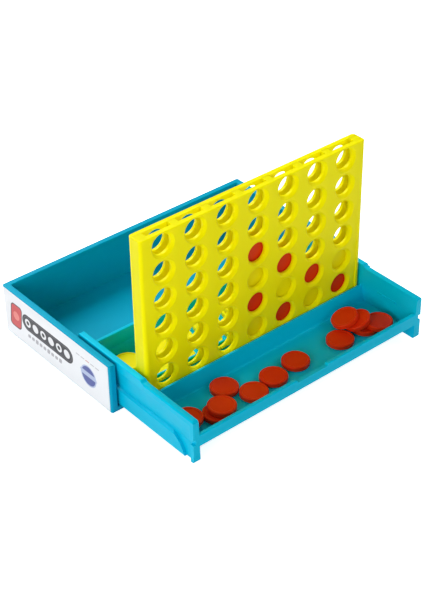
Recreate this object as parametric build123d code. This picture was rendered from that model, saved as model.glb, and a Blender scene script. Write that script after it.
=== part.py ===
from build123d import *
import os

# Travel four-in-a-row game: an open case, a drawer that slides out of its mouth,
# a two-panel rack standing on the drawer's centre beam, and the counters.
# Millimetres. +Z is up, the drawer slides along Y and leaves the case towards -Y.
# Origin: centre of the case's underside.

# ---- case -------------------------------------------------------------------
case_width = 150.0          # X, outside
case_depth = 86.3           # Y, outside
case_height = 27.1          # Z, outside
case_wall = 3.2             # side and back walls
case_floor = 2.5
case_corner_r = 1.2         # outside vertical corners
label_thickness = 0.15
mouth = -case_depth / 2     # the case's open end
rib_low, rib_high = 13.2, 15.4      # guide rib on each inner side wall
rib_reach = 2.3
rib_start, rib_end = 8.0, 27.7        # from the mouth

# ---- drawer -----------------------------------------------------------------
pull_out = 53.0             # how far the drawer stands out of the mouth
drawer_length = 83.0
drawer_front = mouth - pull_out
drawer_back = drawer_front + drawer_length
drawer_half = 70.3          # to the outside of the rim bead and bottom rail
drawer_inner = 66.5         # inside of the side walls, at the foot
drawer_inner_top = 67.2     # and at the top: the walls taper
web_top, web_low = 69.9, 68.8       # outside of the wall between bead and rail
drawer_bottom = 2.8
front_top = 25.9            # side wall top, front stretch
rear_top = 27.1             # side wall top, rear stretch
step_from_front = 36.0      # where the side wall steps up
tray_floor = 7.3            # top of the counter trays
tray_skin = 1.6
lip_top = 17.1              # top of the front tray wall
rear_lip_top = 18.6         # top of the rear tray wall
lip_under = 11.0            # underside of the front and rear walls
lip_width = 2.0
notch_half, notch_depth = 9.0, 1.3  # finger dip in the front wall

# ---- rack -------------------------------------------------------------------
columns, rows = 7, 6
pitch_x = 17.9
pitch_z = 13.93
row6_z = 20.9               # centre of the bottom row of holes
rack_half = 65.9
rack_bottom, rack_top = 14.1, 97.0
rack_front = mouth - 15.3   # front face of the rack
rack_thick = 8.3
panel_thick = 2.6
hole_r = 5.15
flare_wide, flare_deep = 1.25, 1.2  # the holes open out towards the outside
row_step = 0.2              # each of the last three rows sits this much deeper
rack_edge_r = 1.6           # outer vertical edges of the rack
slot_half = 7.05            # half the width of a counter column
seat_z = 14.0               # top of the beam under the rack

# ---- counters ---------------------------------------------------------------
disc_r = 6.8
disc_t = 2.5
disc_rim = 1.1
disc_dish = 0.22

os.makedirs("parts", exist_ok=True)


def save(shape, node):
    shape.label = node
    export_step(shape, f"parts/{node}.step")


def block(x0, x1, y0, y1, z0, z1):
    return Pos((x0 + x1) / 2, (y0 + y1) / 2, (z0 + z1) / 2) * Box(
        abs(x1 - x0), abs(y1 - y0), abs(z1 - z0))


def outline_face(points, rounds=()):
    """Closed outline; rounds = (u, v, radius) for the corners to round."""
    face = make_face(Polyline(*points, close=True))
    for u, v, r in rounds:
        corner = min(face.vertices(), key=lambda q: (q.X - u) ** 2 + (q.Y - v) ** 2)
        face = fillet(corner, r)
    return face


def face_yz(points, rounds=()):
    return Plane.YZ * outline_face(points, rounds)


def face_xz(points, rounds=()):
    return Plane.XZ * outline_face(points, rounds)


# ---- case -------------------------------------------------------------------
hw = case_width / 2
hd = case_depth / 2
outer = block(-hw, hw, -hd, hd, 0, case_height)
outer = fillet(outer.edges().filter_by(Axis.Z), case_corner_r)
bay = block(-hw + case_wall, hw - case_wall, -hd - 5, hd - case_wall,
            case_floor, case_height + 5)
bay = fillet(bay.edges().filter_by(Axis.Z).group_by(Axis.Y)[-1], 1.0)
case = outer - bay
for s in (-1, 1):
    wall = hw - case_wall
    rib = block(s * (wall + 0.5), s * (wall - rib_reach), mouth + rib_start,
                mouth + rib_end, rib_low, rib_high)
    case = case + rib
# soft break on the upper rim and on the mouth's edges
rim = case.edges().filter_by(lambda e: abs(e.center().Z - case_height) < 1e-3)
case = fillet(rim, 0.5)
base = case.edges().filter_by(lambda e: abs(e.center().Z) < 1e-3)
case = chamfer(base, 0.4)
save(case, "case")

label = block(-hw - label_thickness, -hw, -hd + 1.25, hd - 1.25, 0.7, case_height - 0.7)
save(label, "side_label")

# ---- drawer -----------------------------------------------------------------
yf, yb = drawer_front, drawer_back
beam_c = rack_front + rack_thick / 2        # centre line of the beam
seat = rack_thick / 2 + 0.35                # half width of the seat for the rack


def my(y):                                  # mirror a Y about the beam centre
    return 2 * beam_c - y


cheek = 1.0                                 # thickness of the seat's two low lips
foot_front = seat + cheek + 2.4             # beam's reach at the tray floor
foot_rear = seat + cheek + 1.2
under = tray_floor - tray_skin
section = [
    (yf, lip_top), (yf, lip_under), (yf + 6.0, under),
    (beam_c - foot_front + 1.9, under), (beam_c - seat + 0.2, seat_z - tray_skin),
    (beam_c + seat - 0.2, seat_z - tray_skin), (beam_c + foot_rear - 0.7, under),
    (yb - 5.2, under), (yb, lip_under - 0.6), (yb, rear_lip_top),
    (yb - lip_width, rear_lip_top), (yb - lip_width, 11.3), (yb - 6.0, tray_floor),
    (beam_c + foot_rear, tray_floor), (beam_c + seat + cheek, seat_z + 1.5),
    (beam_c + seat, seat_z + 1.5), (beam_c + seat, seat_z),
    (beam_c - seat, seat_z), (beam_c - seat, seat_z + 1.5),
    (beam_c - seat - cheek, seat_z + 1.5), (beam_c - foot_front, tray_floor),
    (yf + 6.8, tray_floor), (yf + lip_width, 12.1), (yf + lip_width, lip_top),
]
tray_face = face_yz(section, [
    (yf, lip_top, 0.5), (yf + lip_width, lip_top, 0.5),
    (yb, rear_lip_top, 0.5), (yb - lip_width, rear_lip_top, 0.5),
    (yf + 6.8, tray_floor, 1.0), (yb - 6.0, tray_floor, 1.0),
    (yf + 6.0, under, 2.4), (yb - 5.2, under, 2.4),
    (yf, lip_under, 0.3), (yb, lip_under - 0.6, 0.3),
    (beam_c - foot_front, tray_floor, 1.4), (beam_c + foot_rear, tray_floor, 1.4),
    (beam_c - seat - cheek, seat_z + 1.5, 0.35), (beam_c + seat + cheek, seat_z + 1.5, 0.35),
])
inner_span = drawer_inner + 1.0
tray = extrude(tray_face, amount=inner_span, both=True)
dip = face_xz([(-notch_half - 1.3, lip_top + 1), (-notch_half, lip_top - notch_depth),
               (notch_half, lip_top - notch_depth), (notch_half + 1.3, lip_top + 1)])
dip = Pos(0, yf + 4.0, 0) * extrude(dip, amount=10, both=True)
tray = tray - (dip & block(-20, 20, yf - 1, yf + 4, 0, 40))

# side wall: rim bead, tapering web and bottom rail
prof = [(drawer_inner, drawer_bottom), (drawer_inner_top, rear_top), (drawer_half, rear_top),
        (drawer_half, 22.7), (web_top, 22.2), (web_low, 12.6), (web_low, 11.9),
        (drawer_half, 11.3), (drawer_half, drawer_bottom)]
wall_face = face_xz(prof, [(drawer_half, rear_top, 0.6), (drawer_half, 22.7, 0.3),
                           (drawer_half, 11.3, 0.4), (drawer_half, drawer_bottom, 0.6),
                           (drawer_inner, drawer_bottom, 0.4),
                           (drawer_inner_top, rear_top, 0.5)])
wall = extrude(wall_face, amount=200, both=True)
ys = yf + step_from_front
outline = face_yz(
    [(yf, drawer_bottom), (yf, front_top), (ys - 0.6, front_top), (ys + 0.6, rear_top),
     (yb, rear_top), (yb, drawer_bottom)],
    [(yf, drawer_bottom, 1.0), (yf, front_top, 1.8), (ys - 0.6, front_top, 1.0),
     (ys + 0.6, rear_top, 1.0), (yb, rear_top, 1.0), (yb, drawer_bottom, 1.0)])
wall = wall & extrude(outline, amount=100, both=True)
# rounded top rim along the front stretch
rim_cut = face_xz([(drawer_half - 0.8, front_top + 0.05), (drawer_half + 0.2, front_top + 0.05),
                   (drawer_half + 0.2, front_top - 0.8)])
in_cut = face_xz([(drawer_inner_top + 0.4, front_top + 0.05), (drawer_inner_top - 0.4, front_top + 0.05),
                  (drawer_inner_top - 0.4, front_top - 0.5)])
front_stretch = block(60, 80, yf - 5, ys - 1.6, 20, 30)
for cut in (rim_cut, in_cut):
    wall = wall - (extrude(cut, amount=200, both=True) & front_stretch)
# the rail runs out in a curve short of the front end
with BuildSketch(Plane.YZ) as runout:
    with BuildLine():
        l1 = Line((yf + 2.2, drawer_bottom - 0.2), (yf + 6.6, drawer_bottom - 0.2))
        a1 = ThreePointArc(l1 @ 1, (yf + 9.6, 8.2), (yf + 16.5, 12.3))
        Line(a1 @ 1, (yf + 2.2, 12.3))
        Line((yf + 2.2, 12.3), l1 @ 0)
    make_face()
wall = wall - (extrude(runout.sketch, amount=100, both=True) & block(web_low + 0.05, 80, yf, yf + 20, 0, 12.3))
# end beads: the front one is notched at the height of the case's guide rib
bead_face = face_yz([(yf, drawer_bottom), (yf, front_top - 1), (yf + 2.2, front_top - 1),
                     (yf + 2.2, drawer_bottom)], [(yf, drawer_bottom, 1.0)])
bead = extrude(bead_face, amount=100, both=True) & block(web_low - 1.0, drawer_half, yf, yf + 3, 0, 30)
bead = bead - block(web_low + 0.1, 80, yf - 1, yf + 3, 12.8, 15.8)
bead = bead - block(web_low + 0.1, 80, yf - 1, yf + 3, 25.0, 30)
wall = wall + bead
wall = wall - block(web_low + 0.1, 80, yf - 1, yf + 2.3, 12.8, 15.8)
stop = block(web_low - 1.0, drawer_half, yb - 2.0, yb - 0.3, 11.5, 22.5)
wall = wall + stop
# a small catch rail on the inside of each wall, above the front tray
catch = block(drawer_inner + 0.9, drawer_inner - 0.15, yf + 13.4, yf + 26.2, 16.2, 17.0)
wall = wall + catch
drawer = tray + wall + mirror(wall, Plane.YZ)
save(drawer, "drawer")

# ---- rack -------------------------------------------------------------------
col_x = [(c - (columns - 1) / 2) * pitch_x for c in range(columns)]
row_z = [row6_z + (rows - 1 - r) * pitch_z for r in range(rows)]
rack_back = rack_front + rack_thick


def hole_cutter():
    """A flared hole; its axis is Z, the outside face is at z = 0."""
    wide, deep = hole_r + flare_wide, panel_thick + 1
    outline = [
        Line((0, -1), (wide, -1)), Line((wide, -1), (wide, 0)),
        ThreePointArc((wide, 0), (hole_r + 0.46 * flare_wide, 0.46 * flare_deep),
                      (hole_r, flare_deep)),
        Line((hole_r, flare_deep), (hole_r, deep)), Line((hole_r, deep), (0, deep)),
        Line((0, deep), (0, -1)),
    ]
    return revolve(Plane.XZ * make_face(outline), Axis.Z)


hole = hole_cutter()


def panel(y_out, direction):
    """One perforated panel; direction is +1 when the outside looks towards -Y."""
    d = direction
    y_in = y_out + d * panel_thick
    p = block(-rack_half, rack_half, min(y_out, y_in), max(y_out, y_in), rack_bottom, rack_top)
    tall = [q for q in p.edges().filter_by(Axis.Z) if abs(q.center().Y - y_out) < 0.01]
    p = fillet(tall, rack_edge_r)
    top = [q for q in p.edges() if q.center().Z > rack_top - 0.01
           and abs(q.center().Y - y_in) > 0.2]
    p = fillet(top, 0.5)
    # the outside steps in slightly at each of the last three rows
    depth = [0.0] * rows
    for n, k in enumerate((3, 4, 5)):
        depth[k] = (n + 1) * row_step
        p = p - block(-rack_half + 2.4, rack_half - 2.4, y_out - d * 1, y_out + d * depth[k],
                      rack_bottom - 1, row_z[k] + pitch_z / 2)
    return p - [Pos(x, y_out + d * depth[k], row_z[k]) * Rot(-90 * d, 0, 0) * hole
                for x in col_x for k in range(rows)]


front_panel = panel(rack_front, 1)
back_panel = panel(rack_back, -1)
save(front_panel, "rack_front_panel")
save(back_panel, "rack_back_panel")

gap0, gap1 = rack_front + panel_thick, rack_back - panel_thick
end_in = col_x[-1] + slot_half
for s, name in ((-1, "left"), (1, "right")):
    e = block(s * end_in, s * rack_half, gap0, gap1, rack_bottom, rack_top)
    corner = [q for q in e.edges().filter_by(Axis.Y) if abs(q.center().X) > rack_half - 0.01
              and q.center().Z > rack_top - 0.01]
    e = fillet(corner, 0.5)
    save(e, f"rack_end_rib_{name}")
for i in range(columns - 1):
    xc = (col_x[i] + col_x[i + 1]) / 2
    half = pitch_x / 2 - slot_half
    save(block(xc - half, xc + half, gap0, gap1, rack_bottom, rack_top - 0.1),
         f"rack_rib_{i + 1}")

# ---- counters ---------------------------------------------------------------
with BuildSketch(Plane.XZ) as ds:
    with BuildLine():
        h = disc_t / 2
        Polyline((0, -h + disc_dish), (disc_r - disc_rim - 0.3, -h + disc_dish),
                 (disc_r - disc_rim, -h), (disc_r - 0.35, -h), (disc_r, -h + 0.35),
                 (disc_r, h - 0.35), (disc_r - 0.35, h), (disc_r - disc_rim, h),
                 (disc_r - disc_rim - 0.3, h - disc_dish), (0, h - disc_dish), close=True)
    make_face()
counter = revolve(ds.sketch, Axis.Z)

slot_mid = (gap0 + gap1) / 2
R, Y = "red", "yellow"
in_rack = [(4, 3, R), (4, 4, Y), (4, 5, R), (4, 6, Y), (5, 4, R), (5, 5, Y), (5, 6, R),
           (6, 5, R), (6, 6, Y), (7, 5, Y), (7, 6, R)]
for c, r, colour in in_rack:
    place = Pos(col_x[c - 1], slot_mid, row_z[r - 1]) * Rot(90, 0, 0)
    save(place * counter, f"counter_{colour}_c{c}_r{r}")

# loose counters in the trays: x, y from the mouth, height of the centre above the
# tray floor, tilt in degrees and the direction in which the tilt rises
half_t = disc_t / 2
front_tray = [
    ("a", -58.7, -35.2, disc_t + half_t, 0, 0, 0),
    ("b", -58.4, -33.5, half_t, 0, 0, 0),
    ("c", -42.2, -38.7, disc_t + half_t, 0, 0, 0),
    ("d", -45.1, -38.8, half_t, 0, 0, 0),
    ("e", -30.8, -26.9, half_t, 0, 0, 0),
    ("f", -22.8, -38.4, half_t, 0, 0, 0),
    ("g", -8.6, -35.9, half_t, 0, 0, 0),
    ("h", 7.0, -33.9, half_t, 0, 0, 0),
    ("i", 34.2, -35.6, half_t, 0, 0, 0),
    ("j", 43.75, -28.72, 5.69, 22, 0.875, -0.485),
    ("k", 47.5, -33.38, 5.11, 22, 0.875, -0.485),
    ("l", 50.6, -35.7, half_t, 0, 0, 0),
    ("m", 55.7, -39.9, disc_t + half_t, 0, 0, 0),
]
rear_tray = [
    ("a", -52.7, 16.8, half_t, 0, 0, 0), ("b", -46.2, 3.3, half_t, 0, 0, 0),
    ("c", -38.6, 15.0, half_t, 0, 0, 0), ("d", -31.2, 3.4, half_t, 0, 0, 0),
    ("e", -22.8, 16.0, half_t, 0, 0, 0), ("f", -14.2, 3.9, half_t, 0, 0, 0),
    ("g", -6.0, 15.6, half_t, 0, 0, 0), ("h", 2.6, 3.3, half_t, 0, 0, 0),
    ("i", 11.6, 14.8, half_t, 0, 0, 0), ("j", 22.4, 3.6, half_t, 0, 0, 0),
    ("k", 31.2, 16.0, half_t, 0, 0, 0), ("l", 41.2, 3.9, half_t, 0, 0, 0),
    ("m", 52.4, 14.6, half_t, 0, 0, 0), ("n", -37.8, 16.0, disc_t + half_t, 0, 0, 0),
    ("o", 12.8, 14.2, disc_t + half_t, 0, 0, 0),
]


def lay(x, y, z, tilt, dx, dy):
    place = Pos(x, mouth + y, tray_floor + z)
    if tilt:
        axis = Axis((0, 0, 0), (-dy, dx, 0))
        return place * counter.rotate(axis, -tilt)
    return place * counter


for colour, table in ((R, front_tray), (Y, rear_tray)):
    for tag, *where in table:
        save(lay(*where), f"counter_{colour}_{tag}")
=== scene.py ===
import bpy, math
from mathutils import Vector, Matrix


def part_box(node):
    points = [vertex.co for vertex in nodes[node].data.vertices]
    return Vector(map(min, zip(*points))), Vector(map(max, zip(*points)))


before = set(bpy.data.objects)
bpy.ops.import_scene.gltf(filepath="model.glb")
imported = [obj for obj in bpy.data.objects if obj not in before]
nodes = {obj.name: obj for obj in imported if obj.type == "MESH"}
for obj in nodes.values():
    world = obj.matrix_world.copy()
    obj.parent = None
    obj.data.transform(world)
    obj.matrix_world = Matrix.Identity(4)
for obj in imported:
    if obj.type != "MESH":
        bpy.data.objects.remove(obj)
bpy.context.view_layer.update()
MM = 0.001
scene = bpy.context.scene

# ------------------------------------------------------------------ camera
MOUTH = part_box("case")[0].y                      # the case's open end
AZ, EL, ROLL = (math.radians(v) for v in (-39.4542, 35.5534, -1.0348))
back = Vector((math.sin(AZ) * math.cos(EL), -math.cos(AZ) * math.cos(EL), math.sin(EL)))
right = (-back).cross(Vector((0, 0, 1))).normalized()
up = right.cross(-back)
R = right * math.cos(ROLL) + up * math.sin(ROLL)
U = up * math.cos(ROLL) - right * math.sin(ROLL)
eye = back * 0.716136 - R * 0.011963 - U * (-0.023402)
eye = eye + Vector((0, MOUTH, 0))
cam_data = bpy.data.cameras.new("camera")
cam_data.sensor_fit = "AUTO"
cam_data.sensor_width = 36.0
cam_data.lens = 36.0 * 1485.35 / 600.0
cam_data.clip_start, cam_data.clip_end = 0.01, 20.0
cam = bpy.data.objects.new("camera", cam_data)
scene.collection.objects.link(cam)
m = Matrix((R, U, back)).transposed().to_4x4()
m.translation = eye
cam.matrix_world = m
scene.camera = cam

scene.view_settings.view_transform = "Standard"
scene.view_settings.look = "None"
scene.view_settings.exposure = 0.0
scene.view_settings.gamma = 1.0


# ------------------------------------------------------------------ materials
def new_mat(name):
    mat = bpy.data.materials.new(name)
    mat.use_nodes = True
    nt = mat.node_tree
    nt.nodes.clear()
    out = nt.nodes.new("ShaderNodeOutputMaterial")
    bsdf = nt.nodes.new("ShaderNodeBsdfPrincipled")
    nt.links.new(bsdf.outputs[0], out.inputs[0])
    return mat, nt, bsdf


def lin(c):
    return tuple(((v / 255) / 12.92 if v <= 10 else ((v / 255 + 0.055) / 1.055) ** 2.4) for v in c)


def noise(nt, coord, scale, detail=3.0, rough=0.55, w=None):
    n = nt.nodes.new("ShaderNodeTexNoise")
    n.inputs["Scale"].default_value = scale
    n.inputs["Detail"].default_value = detail
    n.inputs["Roughness"].default_value = rough
    nt.links.new(coord, n.inputs["Vector"])
    return n.outputs["Fac"]


def ramp(nt, fac, a, b, lo, hi):
    r = nt.nodes.new("ShaderNodeMapRange")
    r.inputs["From Min"].default_value = a
    r.inputs["From Max"].default_value = b
    r.inputs["To Min"].default_value = lo
    r.inputs["To Max"].default_value = hi
    nt.links.new(fac, r.inputs["Value"])
    return r.outputs["Result"]


def mixc(nt, fac, a, b, mode="MIX"):
    x = nt.nodes.new("ShaderNodeMix")
    x.data_type = "RGBA"
    x.blend_type = mode
    for sock, val in ((x.inputs["Factor"], fac), (x.inputs["A"], a), (x.inputs["B"], b)):
        if isinstance(val, (int, float)):
            sock.default_value = val
        elif isinstance(val, tuple):
            sock.default_value = (*val, 1.0)
        else:
            nt.links.new(val, sock)
    return x.outputs["Result"]


def plastic(name, base, deep, pale, rough=0.3, sss=0.12, radius=1.2, seed=0.0, grain=0.35,
            radius_rgb=(1.0, 1.0, 1.0), spec=0.35, tint=(1.0, 1.0, 1.0)):
    """Moulded plastic: faint flow marks in the colour, uneven gloss, fine skin texture and handling marks."""
    mat, nt, bsdf = new_mat(name)
    tc = nt.nodes.new("ShaderNodeTexCoord")
    mp = nt.nodes.new("ShaderNodeMapping")
    mp.inputs["Location"].default_value = (seed, seed * 0.7, seed * 1.3)
    nt.links.new(tc.outputs["Object"], mp.inputs["Vector"])
    v = mp.outputs["Vector"]
    flow = noise(nt, v, 22.0, 2.0, 0.5)
    spot = noise(nt, v, 160.0, 4.0, 0.6)
    c = mixc(nt, ramp(nt, flow, 0.3, 0.7, 0.0, 1.0), deep, base)
    c = mixc(nt, ramp(nt, spot, 0.55, 0.8, 0.0, 0.5), c, pale)
    nt.links.new(c, bsdf.inputs["Base Color"])
    r = ramp(nt, noise(nt, v, 70.0, 5.0, 0.65), 0.3, 0.7, rough - 0.05, rough + 0.08)
    nt.links.new(r, bsdf.inputs["Roughness"])
    bsdf.inputs["IOR"].default_value = 1.5
    bsdf.inputs["Specular IOR Level"].default_value = spec
    bsdf.inputs["Specular Tint"].default_value = (*tint, 1.0)
    bsdf.inputs["Subsurface Weight"].default_value = sss
    bsdf.inputs["Subsurface Radius"].default_value = radius_rgb
    bsdf.inputs["Subsurface Scale"].default_value = radius * MM
    fine = noise(nt, v, 2600.0, 2.0, 0.5)
    wave = noise(nt, v, 90.0, 2.0, 0.5)
    b1 = nt.nodes.new("ShaderNodeBump")
    b1.inputs["Strength"].default_value = grain
    b1.inputs["Distance"].default_value = 0.00002
    nt.links.new(fine, b1.inputs["Height"])
    b2 = nt.nodes.new("ShaderNodeBump")
    b2.inputs["Strength"].default_value = 0.12
    b2.inputs["Distance"].default_value = 0.00012
    nt.links.new(wave, b2.inputs["Height"])
    nt.links.new(b1.outputs[0], b2.inputs["Normal"])
    nt.links.new(b2.outputs[0], bsdf.inputs["Normal"])
    return mat


CYAN, LEMON, WARM = (0.02, 0.8, 1.0), (1.0, 0.93, 0.03), (1.0, 0.45, 0.25)
blue_case = plastic("case_blue", lin((0, 160, 196)), lin((0, 155, 190)), lin((0, 165, 202)), 0.36, 0.10, 1.5, 0.3,
                    spec=0.3, tint=CYAN)
blue_drawer = plastic("drawer_blue", lin((0, 193, 228)), lin((0, 188, 223)), lin((0, 197, 233)), 0.34, 0.12, 1.5, 1.7,
                      spec=0.3, tint=CYAN)
yellow_rack = plastic("rack_yellow", lin((250, 238, 0)), lin((247, 234, 0)), lin((252, 242, 4)), 0.38, 0.5, 3.2, 2.9,
                      radius_rgb=(1.0, 0.85, 0.08), spec=0.3, tint=LEMON)
red = [plastic(f"counter_red_{i}", lin((226, 44 + 2 * i, 8)), lin((218, 40 + 2 * i, 6)), lin((230, 54, 14)), 0.40, 0.1,
               1.0, 4.0 + i * 1.37, spec=0.35, tint=WARM) for i in range(4)]
yellow = [plastic(f"counter_yellow_{i}", lin((246, 236 - 2 * i, 2)), lin((241, 230 - 2 * i, 0)), lin((249, 240, 8)), 0.40,
                  0.3, 2.0, 9.0 + i * 1.61, radius_rgb=(1.0, 0.85, 0.08), spec=0.35, tint=LEMON) for i in range(4)]


# ------------------------------------------------------------------ label: printed film, shapes worked out in millimetres
def label_material():
    mat, nt, bsdf = new_mat("label_film")
    tc = nt.nodes.new("ShaderNodeTexCoord")
    sep = nt.nodes.new("ShaderNodeSeparateXYZ")
    nt.links.new(tc.outputs["Object"], sep.inputs[0])

    def math_(op, a, b=None, c=None, clamp=False):
        n = nt.nodes.new("ShaderNodeMath")
        n.operation = op
        n.use_clamp = clamp
        for i, val in enumerate((a, b, c)):
            if val is None:
                continue
            if isinstance(val, (int, float)):
                n.inputs[i].default_value = val
            else:
                nt.links.new(val, n.inputs[i])
        return n.outputs[0]

    # a: mm along the case from its mouth to the back, h: mm above the table
    a = math_("MULTIPLY_ADD", sep.outputs["Y"], 1000.0, -MOUTH * 1000.0)
    h = math_("MULTIPLY", sep.outputs["Z"], 1000.0)

    def mask(dist, soft=0.12):
        return ramp(nt, dist, -soft, soft, 1.0, 0.0)

    def rbox(ca, ch, wa, wh, r, shear=0.0):
        da = math_("SUBTRACT", a, ca)
        dh = math_("SUBTRACT", h, ch)
        if shear:
            da = math_("MULTIPLY_ADD", dh, shear, da)
        qa = math_("SUBTRACT", math_("ABSOLUTE", da), wa / 2 - r)
        qh = math_("SUBTRACT", math_("ABSOLUTE", dh), wh / 2 - r)
        qa, qh = math_("MAXIMUM", qa, 0.0), math_("MAXIMUM", qh, 0.0)
        d = math_("SQRT", math_("ADD", math_("MULTIPLY", qa, qa), math_("MULTIPLY", qh, qh)))
        return math_("SUBTRACT", d, r)

    def disc(ca, ch, r):
        da = math_("SUBTRACT", a, ca)
        dh = math_("SUBTRACT", h, ch)
        d = math_("SQRT", math_("ADD", math_("MULTIPLY", da, da), math_("MULTIPLY", dh, dh)))
        return math_("SUBTRACT", d, r)

    white = lin((236, 239, 243))
    ink, mid, grey = lin((40, 42, 52)), lin((150, 152, 162)), lin((176, 176, 184))
    redc, bluec, pale_blue = lin((205, 70, 72)), lin((70, 84, 158)), lin((176, 190, 222))
    c = mixc(nt, 0.0, white, white)
    tc_n = noise(nt, tc.outputs["Object"], 60.0, 3.0)
    c = mixc(nt, ramp(nt, tc_n, 0.35, 0.7, 0.0, 0.35), white, lin((226, 231, 238)))
    # a bar of counters between two thin rules
    c = mixc(nt, mask(rbox(49.5, 15.2, 41.5, 9.2, 4.5)), c, ink)
    c = mixc(nt, mask(math_("ABSOLUTE", rbox(49.5, 15.2, 39.3, 7.2, 3.5)), 0.16), c, mid)
    for i in range(6):
        ca = 33.6 + i * 6.4
        c = mixc(nt, mask(disc(ca, 15.2, 2.35)), c, lin((232, 234, 238)))
        if i % 2:
            c = mixc(nt, mask(disc(ca, 15.2, 1.15)), c, ink)
    # a red lozenge with a pale core
    c = mixc(nt, mask(rbox(75.6, 14.0, 9.4, 14.2, 2.4, 0.16)), c, ink)
    c = mixc(nt, mask(rbox(75.6, 14.0, 8.2, 13.0, 1.9, 0.16)), c, redc)
    c = mixc(nt, mask(disc(75.6, 14.0, 2.5)), c, lin((226, 128, 120)))
    # a row of short grey dashes
    for i in range(9):
        c = mixc(nt, mask(rbox(39.6 + i * 3.2, 7.7, 2.3, 2.0 if i % 3 else 2.6, 0.7, 0.2)), c, grey)
    # a blue button with a pale stripe, and a thin rule of dashes above it
    c = mixc(nt, mask(disc(16.8, 12.2, 5.9)), c, pale_blue)
    c = mixc(nt, mask(disc(16.8, 12.2, 5.2)), c, bluec)
    c = mixc(nt, mask(rbox(16.8, 12.9, 12.0, 2.6, 0.6, -0.5)), c, pale_blue)
    for i in range(5):
        c = mixc(nt, mask(rbox(9.6 + i * 3.7, 20.6, 2.9, 0.5, 0.2)), c, grey if i != 2 else lin((196, 120, 124)))
    nt.links.new(c, bsdf.inputs["Base Color"])
    r = ramp(nt, noise(nt, tc.outputs["Object"], 140.0, 4.0), 0.3, 0.7, 0.30, 0.42)
    nt.links.new(r, bsdf.inputs["Roughness"])
    bump = nt.nodes.new("ShaderNodeBump")
    bump.inputs["Strength"].default_value = 0.25
    bump.inputs["Distance"].default_value = 0.00006
    nt.links.new(noise(nt, tc.outputs["Object"], 220.0, 3.0), bump.inputs["Height"])
    nt.links.new(bump.outputs[0], bsdf.inputs["Normal"])
    return mat


film = label_material()


def paint(obj, mat):
    if not obj.material_slots:
        obj.data.materials.append(mat)
    for s in obj.material_slots:
        s.material = mat


def soften(obj, width, segments=2, angle=35):
    """Small moulded radii on every sharp edge."""
    w = obj.modifiers.new("weld", "WELD")
    w.merge_threshold = 0.000005
    b = obj.modifiers.new("edges", "BEVEL")
    b.width = width
    b.segments = segments
    b.limit_method = "ANGLE"
    b.angle_limit = math.radians(angle)
    b.use_clamp_overlap = True
    b.harden_normals = False


k = 0
for name, obj in sorted(nodes.items()):
    if name == "case":
        paint(obj, blue_case)
    elif name == "side_label":
        paint(obj, film)
    elif name == "drawer":
        paint(obj, blue_drawer)
    elif name.startswith("rack"):
        paint(obj, yellow_rack)
    elif "red" in name:
        paint(obj, red[k % 4]); k += 1
    else:
        paint(obj, yellow[k % 4]); k += 1

# ------------------------------------------------------------------ floor and light
bpy.ops.mesh.primitive_plane_add(size=6.0, location=(0, 0, -0.00002))
floor = bpy.context.object
floor.name = "studio_floor"
fm, nt, bsdf = new_mat("floor_white")
bsdf.inputs["Base Color"].default_value = (0.9, 0.9, 0.9, 1)
bsdf.inputs["Roughness"].default_value = 0.6
bsdf.inputs["Specular IOR Level"].default_value = 0.2
bsdf.inputs["Emission Color"].default_value = (1, 1, 1, 1)
# the paper sweep is lit from below: the glow is for the eye only, so that it doesn't light the model
lp = nt.nodes.new("ShaderNodeLightPath")
glow = nt.nodes.new("ShaderNodeMath")
glow.operation = "MULTIPLY"
glow.inputs[1].default_value = 0.8
nt.links.new(lp.outputs["Is Camera Ray"], glow.inputs[0])
nt.links.new(glow.outputs[0], bsdf.inputs["Emission Strength"])
paint(floor, fm)

world = bpy.data.worlds.new("studio")
world.use_nodes = True
world.node_tree.nodes["Background"].inputs["Color"].default_value = (1, 1, 1, 1)
world.node_tree.nodes["Background"].inputs["Strength"].default_value = 0.112
scene.world = world


def area(name, loc, target, size, power, size_y=None):
    d = bpy.data.lights.new(name, "AREA")
    d.shape = "RECTANGLE"
    d.size = size
    d.size_y = size_y or size
    d.energy = power
    o = bpy.data.objects.new(name, d)
    scene.collection.objects.link(o)
    o.location = loc
    o.rotation_euler = (Vector(target) - Vector(loc)).to_track_quat("-Z", "Y").to_euler()
    return o


def lamp(name, az, el, power, size):
    """A softbox 1.2 m from the model; az 0 is in front of the drawer, -90 at its left."""
    t = Vector((0, -0.05, 0.03))
    a, e = math.radians(az), math.radians(el)
    way = Vector((math.sin(a) * math.cos(e), -math.cos(a) * math.cos(e), math.sin(e)))
    return area(name, t + way * 1.2, t, size, power)


lamp("key_left", -65, 20, 6.8, 0.6)
lamp("back_above", 180, 50, 12.8, 0.7)
lamp("right", 60, 35, 2.6, 0.6)
lamp("back_left", -110, 35, 1.5, 0.6)
lamp("front_low", 0, 18, 1.5, 0.6)
lamp("top", 0, 89, 0.65, 0.8)
